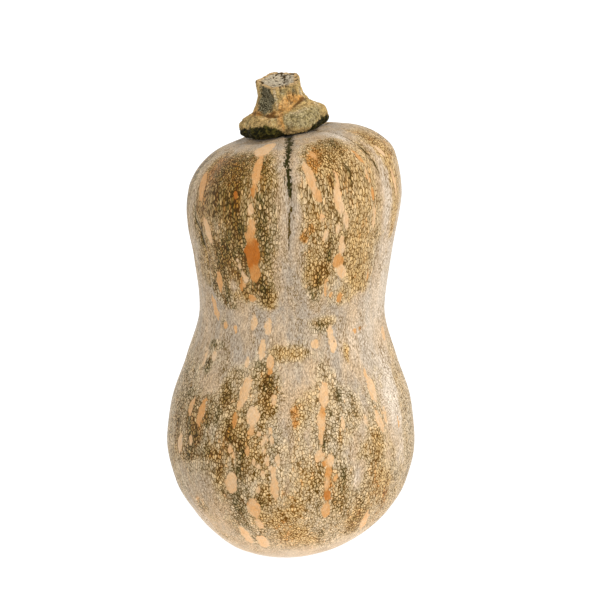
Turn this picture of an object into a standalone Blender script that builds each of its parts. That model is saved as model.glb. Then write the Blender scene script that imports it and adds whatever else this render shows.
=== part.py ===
"""A ripe pumpkin of the long, waisted kind, standing on its blossom end with its cut stem up.

Metres, +Z up. The origin is on the surface that the fruit stands on, in the middle of its box.
A longitude is an angle round the fruit, 0 at the front (-Y) and growing towards the right (+X).
"""

import math

import bmesh
import bpy
from mathutils import Euler, Vector

MM = 0.001

# Driving dimensions of the fruit, in millimetres
FOOT_RADIUS = 21.5
SCAR_RADIUS = 9.5
SCAR_DEPTH = 2.0
BULB_RADIUS = 70.0
BULB_HEIGHT = 63.0
WAIST_RADIUS = 51.6
WAIST_HEIGHT = 141.0
NECK_RADIUS = 59.3
NECK_HEIGHT = 201.0
CROWN_HEIGHT = 239.2
SEAT_RADIUS = 21.0

# The fruit's outline from the blossom scar up to the middle of the stem's seat: (height, radius)
FRUIT_OUTLINE = (
    (SCAR_DEPTH, 0.0),
    (0.75 * SCAR_DEPTH, 5.0),
    (0.0, SCAR_RADIUS),
    (0.0, FOOT_RADIUS),
    (4.0, 33.8),
    (12.0, 45.2),
    (24.0, 56.0),
    (41.0, 65.6),
    (BULB_HEIGHT, BULB_RADIUS),
    (84.0, 67.9),
    (112.0, 59.0),
    (WAIST_HEIGHT, WAIST_RADIUS),
    (170.0, 54.7),
    (NECK_HEIGHT, NECK_RADIUS),
    (218.0, 56.9),
    (230.5, 47.5),
    (236.5, 36.0),
    (CROWN_HEIGHT, SEAT_RADIUS),
    (CROWN_HEIGHT, 0.0),
)

# How far the middle of the fruit lies to the right of the origin: (height, distance)
FRUIT_SWAY = (
    (0.0, -3.3),
    (10.0, -1.2),
    (24.0, 0.2),
    (BULB_HEIGHT, 0.0),
    (WAIST_HEIGHT, 0.9),
    (198.0, 2.2),
    (222.0, 0.5),
    (CROWN_HEIGHT, -2.5),
)

# The crown is set askew: its left side is lower, and so is its back a little
CROWN_TILT = math.radians(10.3)
CROWN_LEAN = math.radians(2.0)
SKEW_FROM_HEIGHT = 140.0
SKEW_TO_HEIGHT = 232.0

# Six broad ribs, parted by shallow grooves: longitudes in degrees, depths as shares of the radius
GROOVES = (-2.0, 56.0, 118.0, 181.0, 238.0, 298.0)
GROOVE_HALF_WIDTH = 13.0
GROOVE_DEPTHS = (
    (0.0, 0.0),
    (12.0, 0.018),
    (BULB_HEIGHT, 0.014),
    (WAIST_HEIGHT, 0.012),
    (NECK_HEIGHT, 0.03),
    (228.0, 0.05),
    (CROWN_HEIGHT, 0.05),
)

# Driving dimensions of the stem, in millimetres, measured along its own axis from its seat
STEM_GAP = 0.3
STEM_LENGTH = 28.6
COLLAR_RADIUS = 24.1
SHANK_RADIUS = 12.2

# The stem's outline from the middle of its base up to the middle of its cut: (height, radius)
STEM_OUTLINE = (
    (STEM_GAP, 0.0),
    (STEM_GAP, 20.5),
    (1.3, 22.9),
    (3.6, COLLAR_RADIUS),
    (7.0, 23.8),
    (10.0, 22.0),
    (12.5, 18.8),
    (14.5, 16.1),
    (18.5, 13.7),
    (23.0, SHANK_RADIUS),
    (27.6, 12.0),
    (STEM_LENGTH, 10.9),
    (28.2, 6.0),
    (28.0, 0.0),
)

# Five arrises run down the stem and turn into the notches between the five lobes of its collar
STEM_FIRST_NOTCH = 2.0
STEM_TWIST = -22.0
ARRIS_RISE = 0.13
NOTCH_DEPTH = 0.16
ARRIS_HALF_WIDTH = 15.0
COLLAR_TOP = 9.0
SHANK_FOOT = 15.0

# The stem stands straighter than the crown that it grows from, and its cut is a level one
STEM_SWAY = ((0.0, 0.0), (8.0, 0.0), (15.0, 1.3), (22.0, 1.5), (STEM_LENGTH, 1.2))
CUT_RISE_LEFT = 0.07
CUT_RISE_BACK = 0.27

# One old leaf scar ends the left arris as a small knob beside the cut
KNOB_LONGITUDE = 268.0
KNOB_HALF_WIDTH = 15.0
KNOB_RISE = 1.0

# Mesh steps
RING_STEP = 6.5
FRUIT_SIDES = 64
STEM_RING_STEP = 2.2
STEM_SIDES = 60


def smooth_step(low, high, value):
    share = min(max((value - low) / (high - low), 0.0), 1.0)
    return share * share * (3.0 - 2.0 * share)


def straight_between(points, position):
    """Reads a row of (position, value) points, with straight lines between them."""
    for (start, value), (end, next_value) in zip(points, points[1:]):
        if position <= end:
            share = max((position - start) / (end - start), 0.0)
            return value + share * (next_value - value)
    return points[-1][1]


def end_slopes(values, lengths):
    """Slopes at each point of a row, that let a curve through them never swing past a point."""
    steps = [(b - a) / length for a, b, length in zip(values, values[1:], lengths)]
    slopes = [steps[0]]
    for before, after, length, next_length in zip(steps, steps[1:], lengths, lengths[1:]):
        if before * after <= 0.0:
            slopes.append(0.0)
            continue
        weight = 2.0 * next_length + length
        next_weight = next_length + 2.0 * length
        slopes.append((weight + next_weight) / (weight / before + next_weight / after))
    slopes.append(steps[-1])
    return slopes


def rings_along(outline, ring_step):
    """(height, radius) of every ring of a turned outline, with a ring on each of its points."""
    lengths = [math.dist(a, b) for a, b in zip(outline, outline[1:])]
    columns = list(zip(*outline))
    slopes = [end_slopes(column, lengths) for column in columns]
    rings = [outline[0]]
    for i, length in enumerate(lengths):
        count = max(1, round(length / ring_step))
        for k in range(1, count + 1):
            t = k / count
            rings.append(tuple(
                (2 * t**3 - 3 * t**2 + 1) * column[i]
                + (t**3 - 2 * t**2 + t) * length * slope[i]
                + (3 * t**2 - 2 * t**3) * column[i + 1]
                + (t**3 - t**2) * length * slope[i + 1]
                for column, slope in zip(columns, slopes)
            ))
    return rings


def bumps_at(longitudes, longitude, half_width):
    """A round bump of height 1 at each of the longitudes, in degrees."""
    total = 0.0
    for place in longitudes:
        off = (longitude - place + 180.0) % 360.0 - 180.0
        total += math.exp(-((off / half_width) ** 2))
    return total


def crown_turn(height):
    """How the fruit is turned askew at a height: not at all low down, fully at the crown."""
    share = smooth_step(SKEW_FROM_HEIGHT, SKEW_TO_HEIGHT, height)
    return Euler((-CROWN_LEAN * share, -CROWN_TILT * share, 0.0))


def fruit_middle(height):
    return Vector((straight_between(FRUIT_SWAY, height), 0.0, height))


def fruit_point(height, radius, longitude):
    groove = straight_between(GROOVE_DEPTHS, height)
    ribbed = radius * (1.0 - groove * (bumps_at(GROOVES, longitude, GROOVE_HALF_WIDTH) - 0.35))
    angle = math.radians(longitude)
    spoke = Vector((ribbed * math.sin(angle), -ribbed * math.cos(angle), 0.0))
    return fruit_middle(height) + crown_turn(height).to_matrix() @ spoke


def stem_point(height, radius, longitude):
    arris = smooth_step(COLLAR_TOP, SHANK_FOOT, height)
    twist = STEM_TWIST * smooth_step(SHANK_FOOT - 8.0, STEM_LENGTH, height)
    notches = [STEM_FIRST_NOTCH + twist + 72.0 * i for i in range(5)]
    bump = bumps_at(notches, longitude, ARRIS_HALF_WIDTH) - 0.35
    radius *= 1.0 + bump * (ARRIS_RISE * arris - NOTCH_DEPTH * (1.0 - arris))
    rim = smooth_step(SHANK_RADIUS - 6.0, SHANK_RADIUS - 2.0, radius)
    above = smooth_step(STEM_LENGTH - 6.0, STEM_LENGTH - 1.0, height)
    knob = bumps_at((KNOB_LONGITUDE,), longitude, KNOB_HALF_WIDTH)
    angle = math.radians(longitude)
    x = radius * math.sin(angle)
    y = -radius * math.cos(angle)
    height += KNOB_RISE * knob * rim * above
    height += (CUT_RISE_BACK * y - CUT_RISE_LEFT * x) * smooth_step(SHANK_FOOT, STEM_LENGTH, height)
    return Vector((x + straight_between(STEM_SWAY, height), y, height))


def turned_mesh(name, outline, ring_step, sides, point_at):
    """A sphere's net of faces, with each ring moved to its place on a turned outline."""
    rings = rings_along(outline, ring_step)
    net = bmesh.new()
    bmesh.ops.create_uvsphere(net, u_segments=sides, v_segments=len(rings) - 1, radius=1.0)
    for vert in net.verts:
        polar_angle = math.acos(max(-1.0, min(1.0, -vert.co.z)))
        height, radius = rings[round(polar_angle / math.pi * (len(rings) - 1))]
        longitude = math.degrees(math.atan2(vert.co.x, -vert.co.y))
        vert.co = point_at(height, radius, longitude) * MM
    bmesh.ops.recalc_face_normals(net, faces=net.faces)
    mesh = bpy.data.meshes.new(name)
    net.to_mesh(mesh)
    net.free()
    mesh.shade_smooth()
    return mesh


def plain_material(name, colour, roughness):
    material = bpy.data.materials.new(name)
    material.use_nodes = True
    shader = material.node_tree.nodes["Principled BSDF"]
    shader.inputs["Base Color"].default_value = (*colour, 1.0)
    shader.inputs["Roughness"].default_value = roughness
    shader.inputs["Metallic"].default_value = 0.0
    return material


def make_fruit(collection):
    mesh = turned_mesh("fruit", FRUIT_OUTLINE, RING_STEP, FRUIT_SIDES, fruit_point)
    mesh.materials.append(plain_material("rind", (0.50, 0.34, 0.16), 0.5))
    fruit = bpy.data.objects.new("fruit", mesh)
    collection.objects.link(fruit)
    return fruit


def make_stem(collection):
    """The cut stem, along its own +Z from the middle of its seat on the crown."""
    mesh = turned_mesh("stem", STEM_OUTLINE, STEM_RING_STEP, STEM_SIDES, stem_point)
    mesh.materials.append(plain_material("dry_stem", (0.30, 0.22, 0.10), 0.8))
    stem = bpy.data.objects.new("stem", mesh)
    stem.location = fruit_middle(CROWN_HEIGHT) * MM
    stem.rotation_euler = crown_turn(CROWN_HEIGHT)
    collection.objects.link(stem)
    return stem


def main():
    for old in list(bpy.data.objects):
        bpy.data.objects.remove(old, do_unlink=True)
    pumpkin = bpy.data.collections.new("pumpkin")
    bpy.context.scene.collection.children.link(pumpkin)
    make_fruit(pumpkin)
    make_stem(pumpkin)


main()
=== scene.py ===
# %% [markdown]
# # A net-skinned, waisted pumpkin
#
# The packed model brings two plain solids: the fruit, standing on its blossom end, and its cut
# stem. Here each is made again as a much finer mesh from the same few sizes, with the low relief
# that a plain solid leaves out, and is then painted with nodes. The order is the studio, a way of
# writing shader sums, the fruit's form, the marks that grew in its skin, the rind, and the stem.

import math

import bpy
import numpy as np
from mathutils import Euler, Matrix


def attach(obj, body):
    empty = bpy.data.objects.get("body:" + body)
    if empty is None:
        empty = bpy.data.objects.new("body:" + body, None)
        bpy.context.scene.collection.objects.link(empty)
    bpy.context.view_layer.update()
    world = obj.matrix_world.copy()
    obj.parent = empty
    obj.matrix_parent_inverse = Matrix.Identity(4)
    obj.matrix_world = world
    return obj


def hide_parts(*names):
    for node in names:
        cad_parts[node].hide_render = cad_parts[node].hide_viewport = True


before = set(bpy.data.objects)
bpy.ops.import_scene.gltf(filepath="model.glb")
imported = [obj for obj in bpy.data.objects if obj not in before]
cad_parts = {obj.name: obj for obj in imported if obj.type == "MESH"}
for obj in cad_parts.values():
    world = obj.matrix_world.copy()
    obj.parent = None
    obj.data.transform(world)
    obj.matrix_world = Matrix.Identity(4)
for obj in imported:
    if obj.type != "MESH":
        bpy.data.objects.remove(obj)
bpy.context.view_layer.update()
MM = 0.001
print("nodes in the frame:", sorted(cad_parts))

# %% [markdown]
# ## The studio
#
# Produce is usually photographed from a little above with a long lens, so that near and far
# parts keep their true proportions. The lens follows from two sizes that are easy to judge: how
# far off the camera stands, and how wide a strip of the world the picture takes in there.

# %% Stand the camera
CAMERA_DISTANCE = 1250.0 * MM
CAMERA_RISE = math.radians(14.5)
AIM_HEIGHT = 143.8 * MM
AIM_RIGHT_OF_FRUIT = 5.3 * MM
VIEW_SPAN = 334.8 * MM
SENSOR_WIDTH = 36.0
SIGHT_LIMIT = 30.0

camera_data = bpy.data.cameras.new("portrait_camera")
camera_data.sensor_width = SENSOR_WIDTH
camera_data.lens = SENSOR_WIDTH * CAMERA_DISTANCE / VIEW_SPAN
camera_data.clip_end = SIGHT_LIMIT
camera = bpy.data.objects.new("portrait_camera", camera_data)
camera.location = (
    AIM_RIGHT_OF_FRUIT,
    -CAMERA_DISTANCE * math.cos(CAMERA_RISE),
    AIM_HEIGHT + CAMERA_DISTANCE * math.sin(CAMERA_RISE),
)
camera.rotation_euler = (math.radians(90.0) - CAMERA_RISE, 0.0, 0.0)
bpy.context.scene.collection.objects.link(camera)
bpy.context.scene.camera = camera
print("lens in millimetres:", round(camera_data.lens, 1))

# %% [markdown]
# ## Soft light on a pale sweep
#
# A light tent gives almost the same light from everywhere, which a bright world does at no cost.
# One very wide sun from the upper right adds just enough direction to round the form. A sun has
# no falloff, so the floor stays even right out to its rim. The floor is an outline turned round
# its middle: flat, then curving up at its rim as a paper sweep does, so that no horizon shows. It
# glows as the lit table of a tent does, which keeps the underside of the fruit pale.

# %% Light the tent and lay the floor
TENT_LIGHT = 0.85
KEY_LIGHT = 2.4
TABLE_GREY = 0.15
TABLE_GLOW = 1.0
KEY_WIDTH = math.radians(70.0)
KEY_COLOUR = (1.0, 0.985, 0.96)
WHITE = (1.0, 1.0, 1.0, 1.0)
KEY_TURN = Euler((math.radians(50.0), 0.0, math.radians(50.0)))
# The floor's outline in metres: (radius, height)
SWEEP = ((0.0, 0.0), (6.0, 0.0), (7.0, 0.06), (7.6, 0.25), (7.9, 0.6), (8.0, 1.6))
FLOOR_SIDES = 96

scene = bpy.context.scene
scene.view_settings.view_transform = "Standard"
tent = bpy.data.worlds.new("light_tent")
tent.use_nodes = True
tent_light = tent.node_tree.nodes["Background"]
tent_light.inputs["Color"].default_value = WHITE
tent_light.inputs["Strength"].default_value = TENT_LIGHT
scene.world = tent

key_data = bpy.data.lights.new("key_light", "SUN")
key_data.energy = KEY_LIGHT
key_data.angle = KEY_WIDTH
key_data.color = KEY_COLOUR
key = bpy.data.objects.new("key_light", key_data)
key.rotation_euler = KEY_TURN
scene.collection.objects.link(key)

floor_mesh = bpy.data.meshes.new("floor")
sweep_points = [(radius, 0.0, height) for radius, height in SWEEP]
sweep_edges = [(i, i + 1) for i in range(len(SWEEP) - 1)]
floor_mesh.from_pydata(sweep_points, sweep_edges, [])
floor = bpy.data.objects.new("floor", floor_mesh)
scene.collection.objects.link(floor)
turned = floor.modifiers.new("turned", "SCREW")
turned.steps = FLOOR_SIDES
turned.render_steps = FLOOR_SIDES
turned.use_merge_vertices = True
turned.merge_threshold = 0.0001
floor_paint = bpy.data.materials.new("pale_floor")
floor_paint.use_nodes = True
floor_shader = floor_paint.node_tree.nodes["Principled BSDF"]
floor_shader.inputs["Base Color"].default_value = (TABLE_GREY, TABLE_GREY, TABLE_GREY, 1.0)
floor_shader.inputs["Emission Color"].default_value = WHITE
floor_shader.inputs["Emission Strength"].default_value = TABLE_GLOW
floor_shader.inputs["Roughness"].default_value = 0.9
floor_shader.inputs["Specular IOR Level"].default_value = 0.0
floor.data.materials.append(floor_paint)
print("floor radius in metres:", SWEEP[-1][0])

# %% [markdown]
# ## Shader sums as Python sums
#
# A rind has dozens of nodes, and wiring them one at a time hides what they work out. Here a small
# class wraps an output socket and answers to +, - and *, so that a mask reads like the sum it is.
# Colours are kept out of those sums, because a Math node would turn them grey.

# %% A wire that adds, multiplies and steps
class Wire:
    """An output socket of a paint's nodes, used in sums as a number is."""

    def __init__(self, paint, socket):
        self.paint = paint
        self.socket = socket

    def sum_of(self, operation, first, second):
        return self.paint.node("ShaderNodeMath", {"operation": operation}, [first, second])

    def __add__(self, other):
        return self.sum_of("ADD", self, other)

    def __radd__(self, other):
        return self.sum_of("ADD", other, self)

    def __sub__(self, other):
        return self.sum_of("SUBTRACT", self, other)

    def __rsub__(self, other):
        return self.sum_of("SUBTRACT", other, self)

    def __mul__(self, other):
        return self.sum_of("MULTIPLY", self, other)

    def __rmul__(self, other):
        return self.sum_of("MULTIPLY", other, self)

    def larger(self, other):
        return self.sum_of("MAXIMUM", self, other)

    def smaller(self, other):
        return self.sum_of("MINIMUM", self, other)

    def held(self):
        """The same value, kept between 0 and 1."""
        return self.larger(0.0).smaller(1.0)

    def unsigned(self):
        return self.sum_of("ABSOLUTE", self, 0.0)

    def rising(self, low, high):
        """0 below low and 1 above high, with a soft step between."""
        values = {"Value": self, "From Min": low, "From Max": high}
        settings = {"interpolation_type": "SMOOTHSTEP", "clamp": True}
        return self.paint.node("ShaderNodeMapRange", settings, values, "Result")


print("steps of a wire:", [name for name in vars(Wire) if not name.startswith("__")])

# %% A paint that adds any node
FRONT_LIGHT = 1.4
SHINE = 0.017


def seen(red, green, blue):
    """The colour that a surface needs to look like this, 0 to 255, in the studio's front light."""
    shares = [channel / 255.0 for channel in (red, green, blue)]
    light = [s / 12.92 if s <= 0.04045 else ((s + 0.055) / 1.055) ** 2.4 for s in shares]
    return tuple(max(channel - SHINE, 0.0) / FRONT_LIGHT for channel in light)


class Paint:
    """A material, with one way to add a node and a few everyday nodes built on it."""

    def __init__(self, name, roughness):
        self.material = bpy.data.materials.new(name)
        self.material.use_nodes = True
        self.tree = self.material.node_tree
        self.shader = self.tree.nodes["Principled BSDF"]
        self.shader.inputs["Roughness"].default_value = roughness

    def feed(self, socket, value):
        if isinstance(value, Wire):
            self.tree.links.new(value.socket, socket)
        elif isinstance(value, tuple) and socket.type == "RGBA":
            socket.default_value = (*value[:3], 1.0)
        else:
            socket.default_value = value

    def node(self, kind, settings, values, output=0):
        made = self.tree.nodes.new(kind)
        for name, setting in settings.items():
            if name == "stops":
                self.set_stops(made.color_ramp, setting)
            else:
                setattr(made, name, setting)
        if isinstance(values, dict):
            sockets = {socket.identifier: socket for socket in made.inputs}
            for name, value in values.items():
                self.feed(sockets[name], value)
        else:
            for socket, value in zip(made.inputs, values):
                self.feed(socket, value)
        if isinstance(output, str):
            outputs = {socket.identifier: socket for socket in made.outputs}
            return Wire(self, outputs[output])
        return Wire(self, made.outputs[output])

    def set_stops(self, ramp, stops):
        ramp.elements.remove(ramp.elements[1])
        ramp.elements[0].position = stops[0][0]
        ramp.elements[0].color = (*stops[0][1], 1.0)
        for place, colour in stops[1:]:
            ramp.elements.new(place).color = (*colour, 1.0)

    def trait(self, name):
        """A number that the mesh carries at each of its points."""
        return self.node("ShaderNodeAttribute", {"attribute_name": name}, {}, "Fac")

    def place(self, name):
        """A position that the mesh carries at each of its points."""
        return self.node("ShaderNodeAttribute", {"attribute_name": name}, {}, "Vector")

    def mix(self, share, first, second):
        """The first colour where the share is 0, and the second where it is 1."""
        values = {"Factor_Float": share, "A_Color": first, "B_Color": second}
        return self.node("ShaderNodeMix", {"data_type": "RGBA"}, values, "Result_Color")

    def vectors(self, operation, first, second):
        values = {"Vector": first, "Vector_001": second}
        return self.node("ShaderNodeVectorMath", {"operation": operation}, values, "Vector")

    def lighten(self, colour, share):
        """The colour multiplied by a share, which may be over 1."""
        return self.node("ShaderNodeVectorMath", {"operation": "SCALE"},
                         {"Vector": colour, "Scale": share}, "Vector")

    def ramp(self, share, stops):
        return self.node("ShaderNodeValToRGB", {"stops": stops}, {"Fac": share}, "Color")

    def cloud(self, where, size, detail=2.0, output="Fac"):
        """Noise between 0 and 1, with lumps about one size apart."""
        values = {"Vector": where, "Scale": 1.0 / size, "Detail": detail, "Roughness": 0.6}
        return self.node("ShaderNodeTexNoise", {"noise_dimensions": "3D"}, values, output)

    def stray(self, where, size, reach):
        """The same place, moved by up to about the reach, for edges that wander."""
        swirl = self.cloud(where, size, 2.0, "Color")
        centred = self.vectors("SUBTRACT", swirl, (0.5, 0.5, 0.5))
        return self.vectors("ADD", where, self.lighten(centred, 2.0 * reach))

    def cells(self, where, size, feature, output):
        values = {"Vector": where, "Scale": 1.0 / size}
        settings = {"feature": feature, "voronoi_dimensions": "3D"}
        return self.node("ShaderNodeTexVoronoi", settings, values, output)

    def stretched(self, where, share):
        """The same place, with its height shrunk, for patterns drawn out along the fruit."""
        return self.vectors("MULTIPLY", where, (1.0, 1.0, share))

    def channel(self, colour, name):
        return self.node("ShaderNodeSeparateColor", {}, {"Color": colour}, name)

    def bump(self, height, depth):
        """Makes the shading follow a height between 0 and 1 that is so many millimetres deep."""
        values = {"Height": height, "Distance": depth * MM, "Strength": 1.0}
        self.feed(self.shader.inputs["Normal"], self.node("ShaderNodeBump", {}, values, "Normal"))


print("a surface that looks white:", seen(255, 255, 255))

# %% [markdown]
# ## The fruit's outline
#
# A pumpkin is close to a turned form, so its outline is a short list of heights and radii from
# the blossom scar up to the seat of its stem, all in millimetres. A smooth curve runs through
# them that never swings past a point, so that the flat foot stays flat.

# %% Curves through a few points
def smooth_step(low, high, value):
    share = np.clip((value - low) / (high - low), 0.0, 1.0)
    return share * share * (3.0 - 2.0 * share)


def along(points, position):
    """Reads a row of (position, value) points, with straight lines between them."""
    places, values = np.transpose(points)
    return np.interp(position, places, values)


def end_slopes(values, lengths):
    """Slopes at each point of a row, that let a curve through them never swing past a point."""
    steps = np.diff(values) / lengths
    slopes = [steps[0]]
    for before, after, length, next_length in zip(steps, steps[1:], lengths, lengths[1:]):
        if before * after <= 0.0:
            slopes.append(0.0)
            continue
        weight = 2.0 * next_length + length
        next_weight = next_length + 2.0 * length
        slopes.append((weight + next_weight) / (weight / before + next_weight / after))
    return slopes + [steps[-1]]


def rings_along(outline, ring_step):
    """The height, radius and arc length of every ring of a turned outline."""
    points = np.array(outline)
    lengths = np.hypot(*np.diff(points, axis=0).T)
    slopes = np.transpose([end_slopes(column, lengths) for column in points.T])
    rings = [(*points[0], 0.0)]
    arc = 0.0
    for i, length in enumerate(lengths):
        count = max(1, round(length / ring_step))
        for t in np.arange(1, count + 1) / count:
            spot = (
                (2 * t**3 - 3 * t**2 + 1) * points[i]
                + (t**3 - 2 * t**2 + t) * length * slopes[i]
                + (3 * t**2 - 2 * t**3) * points[i + 1]
                + (t**3 - t**2) * length * slopes[i + 1]
            )
            rings.append((*spot, arc + t * length))
        arc += length
    return np.array(rings).T


print("a smooth step, a quarter of the way:", smooth_step(0.0, 1.0, 0.25))

# %% The fruit's sizes
SCAR_RADIUS = 9.5
SCAR_DEPTH = 2.0
FOOT_RADIUS = 21.5
BULB_RADIUS = 70.0
BULB_HEIGHT = 63.0
WAIST_RADIUS = 51.6
WAIST_HEIGHT = 141.0
NECK_RADIUS = 59.3
NECK_HEIGHT = 201.0
CROWN_HEIGHT = 239.2
SEAT_RADIUS = 21.0
FRUIT_OUTLINE = (
    (SCAR_DEPTH, 0.0), (0.75 * SCAR_DEPTH, 5.0), (0.0, SCAR_RADIUS), (0.0, FOOT_RADIUS),
    (4.0, 33.8), (12.0, 45.2), (24.0, 56.0), (41.0, 65.6), (BULB_HEIGHT, BULB_RADIUS),
    (84.0, 67.9), (112.0, 59.0), (WAIST_HEIGHT, WAIST_RADIUS), (170.0, 54.7),
    (NECK_HEIGHT, NECK_RADIUS), (218.0, 56.9), (230.5, 47.5), (236.5, 36.0),
    (CROWN_HEIGHT, SEAT_RADIUS), (CROWN_HEIGHT, 0.0),
)
FRUIT_SWAY = (
    (0.0, -3.3), (10.0, -1.2), (24.0, 0.2), (BULB_HEIGHT, 0.0), (WAIST_HEIGHT, 0.9),
    (198.0, 2.2), (222.0, 0.5), (CROWN_HEIGHT, -2.5),
)
CROWN_TILT = math.radians(10.3)
CROWN_LEAN = math.radians(2.0)
SKEW_FROM_HEIGHT = 140.0
SKEW_TO_HEIGHT = 232.0
GROOVES = (-2.0, 56.0, 118.0, 181.0, 238.0, 298.0)
GROOVE_HALF_WIDTH = 13.0
GROOVE_DEPTHS = (
    (0.0, 0.0), (12.0, 0.018), (BULB_HEIGHT, 0.014), (WAIST_HEIGHT, 0.012),
    (NECK_HEIGHT, 0.03), (228.0, 0.05), (CROWN_HEIGHT, 0.05),
)
RING_STEP = 1.15
fruit_height, fruit_radius, fruit_arc = rings_along(FRUIT_OUTLINE, RING_STEP)
print("outline from scar to seat:", round(fruit_arc[-1], 1), "mm in", len(fruit_arc), "rings")

# %% [markdown]
# ## From outline to skin
#
# Every point of the skin has a longitude, 0 at the front and growing to the right, and an arc,
# the millimetres up the outline from the middle of the scar. Ribs, the swaying middle line and
# the crown's skew bend the turned form, as they do in the plain solid. Those two numbers stay
# with each point, because the marks of the skin are placed by them as on a map.

# %% Place points on the bent, ribbed form
FULL_TURN = 360.0
# About what a ring of bumps adds on average, taken off so that ribs and lobes keep the radius
MEAN_BUMP = 0.35


def off_by(longitude, place):
    """Degrees from a place round the fruit, between -180 and 180."""
    return (longitude - place + FULL_TURN / 2) % FULL_TURN - FULL_TURN / 2


def bumps_at(places, longitude, half_width):
    return sum(np.exp(-((off_by(longitude, place) / half_width) ** 2)) for place in places)


def skewed(x, y, height):
    """A flat ring's points, turned with the crown and moved with the fruit's middle line."""
    share = smooth_step(SKEW_FROM_HEIGHT, SKEW_TO_HEIGHT, height)
    lean, tilt = CROWN_LEAN * share, CROWN_TILT * share
    leaned_y, leaned_z = y * np.cos(lean), -y * np.sin(lean)
    tilted_x = x * np.cos(tilt) - leaned_z * np.sin(tilt)
    tilted_z = x * np.sin(tilt) + leaned_z * np.cos(tilt)
    return np.stack([along(FRUIT_SWAY, height) + tilted_x, leaned_y, height + tilted_z], -1)


def fruit_point(height, radius, longitude):
    ribs = bumps_at(GROOVES, longitude, GROOVE_HALF_WIDTH) - MEAN_BUMP
    ribbed = radius * (1.0 - along(GROOVE_DEPTHS, height) * ribs)
    angle = np.radians(longitude)
    return skewed(ribbed * np.sin(angle), -ribbed * np.cos(angle), height)


print("front of the waist:", np.round(fruit_point(WAIST_HEIGHT, WAIST_RADIUS, 0.0), 1))

# %% Close a net of rings into a mesh
def ring_grid(rings, sides):
    """The longitude and ring of every point of a net: one point at each end, full rings between."""
    longitude = np.arange(sides) * FULL_TURN / sides
    ring = np.arange(1, rings - 1)
    longitudes, ring_numbers = np.meshgrid(longitude, ring)
    ends = np.array([0.0])
    return (
        np.concatenate([ends, longitudes.ravel(), ends]),
        np.concatenate([[0], ring_numbers.ravel(), [rings - 1]]),
    )


def closed_net(name, points, sides):
    """A mesh of four-sided faces between the rings, with a fan of triangles at each end."""
    around = np.arange(sides)
    ahead = (around + 1) % sides
    last = len(points) - 1
    starts = np.arange(1, last - sides, sides)
    quads = np.stack([around, ahead, ahead + sides, around + sides], -1)
    quads = (starts[:, None, None] + quads[None]).reshape(-1, 4)
    top = last - sides
    first_fan = np.stack([ahead + 1, around + 1, 0 * around], -1)
    last_fan = np.stack([top + around, top + ahead, 0 * around + last], -1)
    faces = quads.tolist() + first_fan.tolist() + last_fan.tolist()
    mesh = bpy.data.meshes.new(name)
    mesh.from_pydata((points * MM).tolist(), [], faces)
    mesh.shade_smooth()
    return mesh


def outward(points, sides):
    """The direction that the skin faces at every point of a net."""
    rows = points[1:-1].reshape(-1, sides, 3)
    across = np.roll(rows, -1, axis=1) - np.roll(rows, 1, axis=1)
    up = np.gradient(rows, axis=0)
    facing = np.cross(across, up)
    facing /= np.linalg.norm(facing, axis=-1, keepdims=True)
    ends = [facing[0].mean(0), facing[-1].mean(0)]
    return np.concatenate([ends[:1], facing.reshape(-1, 3), ends[1:]])


print("points on a net of 4 rings and 6 sides:", len(ring_grid(4, 6)[0]))

# %% Noise that the meshes share
def lumps(points, size, seed):
    """Smooth noise between -1 and 1 at each point, with lumps about one size apart."""
    cell = np.floor(points / size).astype(np.int64)
    share = points / size - cell
    share = share * share * (3.0 - 2.0 * share)
    total = np.zeros(len(points))
    for corner in np.ndindex(2, 2, 2):
        mixed = (cell + corner) @ np.array([73856093, 19349663, 83492791]) + seed * 2654435761
        mixed = (mixed ^ (mixed >> 13)) * 1274126177 & 0x7FFFFFFF
        mixed = (mixed ^ (mixed >> 16)) & 0xFFFF
        weight = np.prod(np.where(corner, share, 1.0 - share), axis=-1)
        total += weight * mixed
    return total / 32767.5 - 1.0


print("the noise at one point:", np.round(lumps(np.array([[1.0, 2.0, 3.0]]), 2.0, 1), 3))

# %% Lay out the fruit's net of points
FRUIT_SIDES = 330
lon, ring = ring_grid(len(fruit_arc), FRUIT_SIDES)
height, radius, arc = fruit_height[ring], fruit_radius[ring], fruit_arc[ring]
skin = fruit_point(height, radius, lon)
facing = outward(skin, FRUIT_SIDES)
millimetres_per_degree = np.radians(1.0) * np.maximum(radius, 1.0)
print("points on the fruit:", len(skin))

# %% [markdown]
# ## Marks on a map
#
# A ripe rind of this kind carries several things at once: a fine net of corky lines, dark green
# stains where the unripe skin lingers, golden stains that turn to rust where they are strongest, a
# waxy bloom that greys the hollows and is whitest where it lies as frost, and long peach to orange
# streaks with no net on them. Each is grown as a number at every point of the mesh. The front's
# marks were placed one by one on the map of longitude and arc. Those of the sides and the back
# come from a seeded draw with the same sizes.

# %% A mark's own coordinates
def across_and_up(mark_lon, mark_arc, half_width, half_length, lean):
    """How far every point lies from a mark's middle, in its half widths and half lengths."""
    east = off_by(lon, mark_lon) * millimetres_per_degree
    north = arc - mark_arc
    turn = math.radians(lean)
    across = east * math.cos(turn) - north * math.sin(turn)
    up = east * math.sin(turn) + north * math.cos(turn)
    return across / half_width, up / half_length


wander = np.stack([lumps(skin, 9.0, 1), lumps(skin, 9.0, 2)])
fine_wander = np.stack([lumps(skin, 4.0, 3), lumps(skin, 4.0, 4)])
angle = np.radians(lon)
ray_place = np.stack([50.0 * np.sin(angle), 50.0 * np.cos(angle), 0.2 * arc], -1)
rays = lumps(ray_place, 3.4, 5) + 0.6 * lumps(ray_place, 1.7, 6)


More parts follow.
